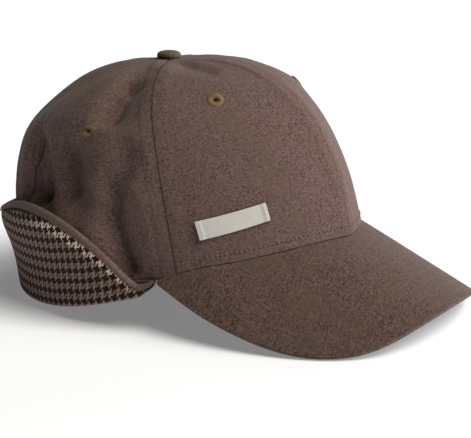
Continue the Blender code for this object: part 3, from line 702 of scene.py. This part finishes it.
# Earflap
# One band sewn to the rim and turned up: brown twill inside the fold and woolly houndstooth on
# the outside. Both follow their solids, softened, with the pattern's rows along the fold. A
# strip beside the binding is paler.
FLAP_ROLL = 0.0003
FLAP_STOPS = np.radians(np.arange(-116, 117, 4.0))
STOP_SPAN = radians(4)
TIP_SPAN = radians(6.5)
TIP_HEIGHT = 0.0250
TIP_ROUND = 0.85
# depths below the flap's edge, turns from the middle of the back, and heights of the flap
PALE_DEPTHS = (0.0097, 0.0114)
PALE_TURNS = (66, 80)
PALE_HEIGHTS = (0.012, 0.020)
# painted shadow under the binding's edge: whole down to the first depth below the flap's edge, gone by the
# second, at this strength
BINDING_SHADOW_DEPTHS = (0.0050, 0.0058)
BINDING_SHADOW_STRENGTH = 0.9
BOUND_SPAN = radians(2.2)
HOUND_PITCH = 0.00067
HOUND_REPEAT = 8.0
HOUND_SQUEEZE = 1.20
HOUND_WANDER = (0.0009, 0.0007)
WANDER_SCALE = 160.0
WOOL_SCALE = 1300.0
flap_ends = points_of(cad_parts["earflap_lining"].data) - np.array(CROWN_AXIS)
FLAP_END = np.abs(np.arctan2(flap_ends[:, 0], flap_ends[:, 1])).max()


def flap_rows(points):
    """Turn from the middle of the back, with the flap's lowest, widest and highest at each stop."""
    away = points - np.array(CROWN_AXIS)
    turn = np.arctan2(away[:, 0], away[:, 1])
    reach = np.hypot(away[:, 0], away[:, 1])
    near = [np.abs(turn - stop) < STOP_SPAN for stop in FLAP_STOPS]
    table = np.array([(stop, points[pick, 2].min(), reach[pick].max(), points[pick, 2].max())
                      for stop, pick in zip(FLAP_STOPS, near) if pick.any()])
    return turn, table.T


def flap_uv(points):
    """Round the flap from the middle of the back, and up from its fold, in metres."""
    turn, (stops, low, wide, _) = flap_rows(points)
    legs = np.hypot(np.diff(wide), wide[:-1] * np.diff(stops))
    length = np.concatenate(((0.0,), np.cumsum(legs)))
    length -= np.interp(0.0, stops, length)
    return np.stack((np.interp(turn, stops, length), points[:, 2] - np.interp(turn, stops, low)), 1)


def rounded_tips(points):
    """The flap's points with the lower corner of each end rounded off."""
    away = points - np.array(CROWN_AXIS)
    turn = np.abs(np.arctan2(away[:, 0], away[:, 1]))
    near = np.clip((turn - FLAP_END) / TIP_SPAN + 1, 0.0, 1.0)
    rounded = points.copy()
    lift = np.maximum(TIP_HEIGHT - points[:, 2], 0.0)
    rounded[:, 2] += lift * TIP_ROUND * (1 - np.sqrt(1 - near ** 2))
    return rounded


def make_houndstooth():
    """Wool houndstooth: light and dark yarns by the repeat, in a two-over-two twill."""
    material, tree, shader = new_material("houndstooth_wool", roughness=0.95, sheen=0.04, specular=0.05)
    flat = tree.nodes.new("ShaderNodeTexCoord").outputs["UV"]
    place = parts_of(tree, flat)
    wander = maths(tree, "SUBTRACT", noise(tree, flat, WANDER_SCALE), 0.5)
    squeezed = maths(tree, "MULTIPLY", place[0], HOUND_SQUEEZE)
    across = maths(tree, "MULTIPLY_ADD", wander, HOUND_WANDER[0], squeezed)
    up = maths(tree, "MULTIPLY_ADD", wander, HOUND_WANDER[1], place[1])
    threads = use_group(tree, "twill_threads", {"Pitch": HOUND_PITCH, "Vector": vector_of(tree, across, up)})
    pale_yarn = []
    for axis, count in ((across, 3), (up, 4)):
        yarn = maths(tree, "FLOOR", maths(tree, "DIVIDE", axis, HOUND_PITCH))
        turn = maths(tree, "FLOORED_MODULO", yarn, HOUND_REPEAT)
        pale_yarn.append(maths(tree, "LESS_THAN", turn, count - 0.5))
    on_top = blend_values(tree, threads["Over"], pale_yarn[1], pale_yarn[0])
    light = blend_colours(tree, shares_of(tree, "pale_strip"), (0.278, 0.200, 0.166), (0.760, 0.640, 0.540))
    yarns = blend_colours(tree, on_top, (0.026, 0.0115, 0.0085), light)
    face = blend_colours(tree, shares_of(tree, "bound"), yarns, (0.120, 0.080, 0.068))
    fibre = noise(tree, flat, WOOL_SCALE, detail=3.0, roughness=0.6)
    # the wool's mottle, times the painted shadow under the binding's edge
    shade = maths(tree, "MULTIPLY", blend_values(tree, fibre, 0.25, 1.75),
                  maths(tree, "SUBTRACT", 1.0, shares_of(tree, "binding_shadow")))
    tree.links.new(darkened(tree, face, shade), shader.inputs["Base Color"])
    height = weighted(tree, (threads["Height"], 1.0), (fibre, 0.6), (on_top, 0.8))
    add_bump(tree, shader, height, distance=0.0003, strength=0.8)
    return material


shell = cloth_piece("earflap_shell_cloth", merged_shape("earflap_shell", FLAP_ROLL), 2)
set_uv(shell.data, flap_uv(points_of(shell.data)))
set_points(shell.data, rounded_tips(points_of(shell.data)))
shell.data.materials.append(crown_cloth)
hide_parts("earflap_shell")

lining = cloth_piece("earflap_lining_cloth", merged_shape("earflap_lining", FLAP_ROLL), 2)
lining_points = points_of(lining.data)
set_uv(lining.data, flap_uv(lining_points))
flap_turn, (stops, low, _, high) = flap_rows(lining_points)
below = np.interp(flap_turn, stops, high) - lining_points[:, 2]
# a paler strip just below the flap's edge, away from the middle of the back and where the flap is tall
pale_strip = (1 - eased(below, *PALE_DEPTHS)) * eased(np.abs(np.degrees(flap_turn)), *PALE_TURNS)
pale_strip *= eased(np.interp(flap_turn, stops, high - low), *PALE_HEIGHTS)
set_shares(lining.data, "pale_strip", pale_strip)
# painted shadow under the binding's edge
set_shares(lining.data, "binding_shadow", (1 - eased(below, *BINDING_SHADOW_DEPTHS)) * BINDING_SHADOW_STRENGTH)
bound = eased(np.abs(flap_turn), FLAP_END - BOUND_SPAN * 1.15, FLAP_END - BOUND_SPAN)
set_shares(lining.data, "bound", bound)
set_points(lining.data, rounded_tips(lining_points))
lining.data.materials.append(make_houndstooth())
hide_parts("earflap_lining")

# Earflap binding
# A bias strip of plain brown cloth folded over the flap's free edge and sewn through, so that
# it is soft and round in section, and drawn in a little by its stitching.
BINDING_DRAW = 0.00035
binding = cloth_piece("earflap_binding_cloth", merged_shape("earflap_binding"), 3)
binding_points = points_of(binding.data)
set_uv(binding.data, flap_uv(binding_points))
set_points(binding.data, rounded_tips(binding_points - points_of(binding.data, "normal") * BINDING_DRAW))
binding_cloth = make_cloth("binding_strip", dark=(0.060, 0.038, 0.033), light=(0.170, 0.112, 0.097),
                           worn=(0.124, 0.087, 0.069), pitch=0.0004, contrast=4.6, streak=0.25)
binding.data.materials.append(binding_cloth)
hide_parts("earflap_binding")

# Button
# A small tin button covered in twill and fastened through the top of the cap. Its cloth is
# gathered under the edge, and it is pressed down a little, with its foot left in place.
BUTTON_RADIUS = 0.0069
BUTTON_GATHERS = 17
GATHER_DEPTH = 0.00012
GATHER_REACHES = (0.0042, 0.0066)
GATHER_DEPTHS = (-0.0018, 0.0010)
PRESSED = 0.84
button = cloth_piece("button_cloth", merged_shape("button"), 3)
button_points = points_of(button.data)
centre = button_points.mean(0)
away = button_points[:, :2] - centre[:2]
gathers = 1 + np.cos(BUTTON_GATHERS * np.arctan2(away[:, 1], away[:, 0]))
gathers *= eased(np.hypot(*away.T), *GATHER_REACHES) * eased(centre[2] - button_points[:, 2], *GATHER_DEPTHS)
button_points[:, :2] = centre[:2] + away * (1 - GATHER_DEPTH / BUTTON_RADIUS * gathers)[:, None]
foot = button_points[:, 2].min()
button_points[:, 2] = foot + (button_points[:, 2] - foot) * PRESSED
set_points(button.data, button_points)
set_uv(button.data, button_points[:, :2])
button_cloth = make_cloth("button_twill", dark=(0.048, 0.029, 0.021), light=(0.145, 0.097, 0.071),
                          worn=(0.125, 0.086, 0.054))
button.data.materials.append(button_cloth)
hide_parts("button")

# Eyelets
# Air holes worked round in ochre thread: satin stitches laid side by side over a cord. Each
# takes its oval from the solid and lies on the settled cloth.
STRANDS = 34
STEPS_PER_STRAND = 5
STRAND_RELIEF = 0.00009
RING_RADIUS = 0.00430
RAGGED = 0.07
RAGGED_FROM = 0.0024
STRAND_STRIDE = 3.7
EYELET_STRIDE = 900
TOUCHES = 12
TOUCH_OUT = 1.05
TOUCH_HEIGHT = 0.006
# reach from the centre and height over the cloth
THREAD_PROFILE = ((0.00125, -0.0013), (0.00118, -0.0002), (0.00145, 0.00040), (0.0021, 0.00072),
                  (0.0028, 0.00078), (0.0035, 0.00062), (0.0041, 0.00030), (0.00430, 0.0000),
                  (0.0042, -0.0005))


def worked_ring(seed):
    """A flat ring of satin stitches round a hole, its outer ends a little ragged."""
    ring = bmesh.new()
    profile = [ring.verts.new((radius, 0.0, height)) for radius, height in THREAD_PROFILE]
    edges = [ring.edges.new(pair) for pair in zip(profile, profile[1:])]
    bmesh.ops.spin(ring, geom=profile + edges, axis=(0, 0, 1), cent=(0, 0, 0), angle=tau,
                   steps=STRANDS * STEPS_PER_STRAND, use_merge=True)
    for vertex in ring.verts:
        turn = np.arctan2(vertex.co.y, vertex.co.x)
        if vertex.co.xy.length > RAGGED_FROM:
            strand = round(STRANDS * turn / tau)
            vertex.co.xy *= 1 + RAGGED * wave_field(Vector((strand * STRAND_STRIDE, seed, 0.5)))
        vertex.co.z += STRAND_RELIEF * cos(STRANDS * turn)
    bmesh.ops.recalc_face_normals(ring, faces=ring.faces)
    return ring


ochre_thread = make_thread("ochre_thread", (0.055, 0.028, 0.010), (0.250, 0.150, 0.060), roughness=0.65)
for node in [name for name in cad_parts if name.startswith("eyelet_")]:
    corners = points_of(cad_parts[node].data)
    centre = corners.mean(0)
    long_way, short_way, face_way = np.linalg.svd(corners - centre)[2]
    reaches = [np.abs((corners - centre) @ way).max() / RING_RADIUS for way in (long_way, short_way)]
    outward = Vector(face_way if face_way @ (centre - CROWN_HEART) > 0 else -face_way)
    first = Vector(long_way).normalized()
    second = outward.cross(first)
    place = Vector(settled(centre[None])[0])
    touched = []
    for turn in np.arange(0, tau, tau / TOUCHES):
        out = first * cos(turn) * reaches[0] + second * sin(turn) * reaches[1]
        spot = place + out * RING_RADIUS * TOUCH_OUT
        hit = crown_tree.ray_cast(spot + outward * TOUCH_HEIGHT, -outward)[0]
        if hit is not None:
            touched.append((hit - place).dot(outward))
    place += outward * (sum(touched) / len(touched))
    ring = worked_ring(centre[0] * EYELET_STRIDE)
    oval = Matrix((first * reaches[0], second * reaches[1], outward)).transposed().to_4x4()
    bmesh.ops.transform(ring, matrix=Matrix.Translation(place) @ oval, verts=ring.verts)
    eyelet = linked(f"{node}_thread", mesh_of(f"{node}_thread", ring))
    eyelet.data.shade_smooth()
    eyelet.data.materials.append(ochre_thread)
    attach(eyelet, "root")
    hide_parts(node)

# Label
# A bare piece of cream woven tape, its short ends turned under so that they stand a little
# proud, and sewn down at both.
LABEL_ROLL = 0.00018
TURNED_END = 0.0030
TURNED_EDGE = 0.0005
TURNED_RISE = 0.00035
SEWN_END = 0.0016
SEWN_HALF = 0.0045
SEWN_SHARES = (-0.6, -0.2, 0.2, 0.6)
SEWN_HEIGHT = 0.003
SEWN_LENGTH = 0.0013
SEWN_THREAD = 0.00016
label = cloth_piece("label_tape", merged_shape("label", LABEL_ROLL), 2)
tape = points_of(label.data)
middle = tape.mean(0)
long_way, short_way, face_way = np.linalg.svd(tape - middle, full_matrices=False)[2]
if face_way @ (middle - np.array(CROWN_AXIS)) < 0:
    face_way = -face_way
along = (tape - middle) @ long_way
half_length = np.abs(along).max()
turned = eased(np.abs(along), half_length - TURNED_END, half_length - TURNED_END + TURNED_EDGE)
set_uv(label.data, np.stack((along, (tape - middle) @ short_way), 1))
set_points(label.data, settled(tape) + face_way * (TURNED_RISE * turned)[:, None])
tape_cloth = make_cloth("cream_tape", dark=(0.43, 0.405, 0.38), light=(0.66, 0.635, 0.61),
                        worn=(0.61, 0.585, 0.555), pitch=0.0003, contrast=1.6)
label.data.materials.append(tape_cloth)
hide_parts("label")

label_tree = surface_of([label])
label_stitches = []
for end in (-1, 1):
    for share in SEWN_SHARES:
        spot = middle + long_way * end * (half_length - SEWN_END) + short_way * share * SEWN_HALF
        label_stitches.append(stitch_on(label_tree, Vector(spot + face_way * SEWN_HEIGHT), Vector(short_way)))
cream_thread = make_thread("cream_thread", (0.30, 0.27, 0.23), (0.52, 0.48, 0.43))
lay_stitches("label_stitching", label_stitches, SEWN_LENGTH, SEWN_THREAD, cream_thread)

# Camera, floor and light
# The camera looks down a little on the cap's right front. The floor is a wide sheet of pale
# paper that glows faintly, a painted light that lifts the shadows on it, and three soft suns and a
# faint sky light it: one low in front, one high and one beside.
VIEW_AZIMUTH = -56.078
VIEW_ELEVATION = 14.212
VIEW_DISTANCE = 0.6695
VIEW_CENTRE = Vector((0.01391, 0.00471, 0.03462))
VIEW_LENS = 93.98
FLOOR_HALF = 40.0
# name, azimuth, elevation, strength, angle across, colour
LIGHTS = (
    ("key", 28, 9, 2.9, 40, (1.0, 1.0, 1.0)),
    ("top", 10, 55, 2.95, 40, (1.04, 1.0, 0.88)),
    ("rim", 90, 8, 2.2, 40, (1.0, 1.0, 1.0)),
)


def aimed(name, data, azimuth, elevation, distance):
    """A camera or lamp that looks at the cap from an azimuth and elevation in degrees."""
    turn, rise = radians(azimuth), radians(elevation)
    away = Vector((sin(turn) * cos(rise), -cos(turn) * cos(rise), sin(rise)))
    item = linked(name, data)
    item.location = VIEW_CENTRE + away * distance
    item.rotation_mode = "QUATERNION"
    item.rotation_quaternion = (-away).to_track_quat("-Z", "Y")
    return item


camera = aimed("camera", bpy.data.cameras.new("camera"), VIEW_AZIMUTH, VIEW_ELEVATION, VIEW_DISTANCE)
camera.data.lens = VIEW_LENS
camera.data.sensor_width = 36.0
bpy.context.scene.camera = camera

ground = bmesh.new()
bmesh.ops.create_grid(ground, x_segments=1, y_segments=1, size=FLOOR_HALF)
floor = linked("floor", mesh_of("floor", ground))
paper = bpy.data.materials.new("pale_glowing_floor")
paper.use_nodes = True
sheet = paper.node_tree.nodes["Principled BSDF"].inputs
sheet["Base Color"].default_value = (0.80, 0.82, 0.89, 1.0)
# painted light: the floor glows faintly, which lifts the shadows on it and lights the cap a little from below
sheet["Emission Color"].default_value = (1.0, 1.0, 1.0, 1.0)
sheet["Emission Strength"].default_value = 0.20
sheet["Roughness"].default_value = 0.9
floor.data.materials.append(paper)

for name, azimuth, elevation, strength, spread, colour in LIGHTS:
    lamp = aimed(name, bpy.data.lights.new(name, "SUN"), azimuth, elevation, 1.0)
    lamp.data.energy = strength
    lamp.data.angle = radians(spread)
    lamp.data.color = colour
world = bpy.data.worlds.new("studio")
world.use_nodes = True
world.node_tree.nodes["Background"].inputs["Color"].default_value = (1.0, 1.0, 1.0, 1.0)
world.node_tree.nodes["Background"].inputs["Strength"].default_value = 0.02
bpy.context.scene.world = world
bpy.context.scene.view_settings.view_transform = "Standard"
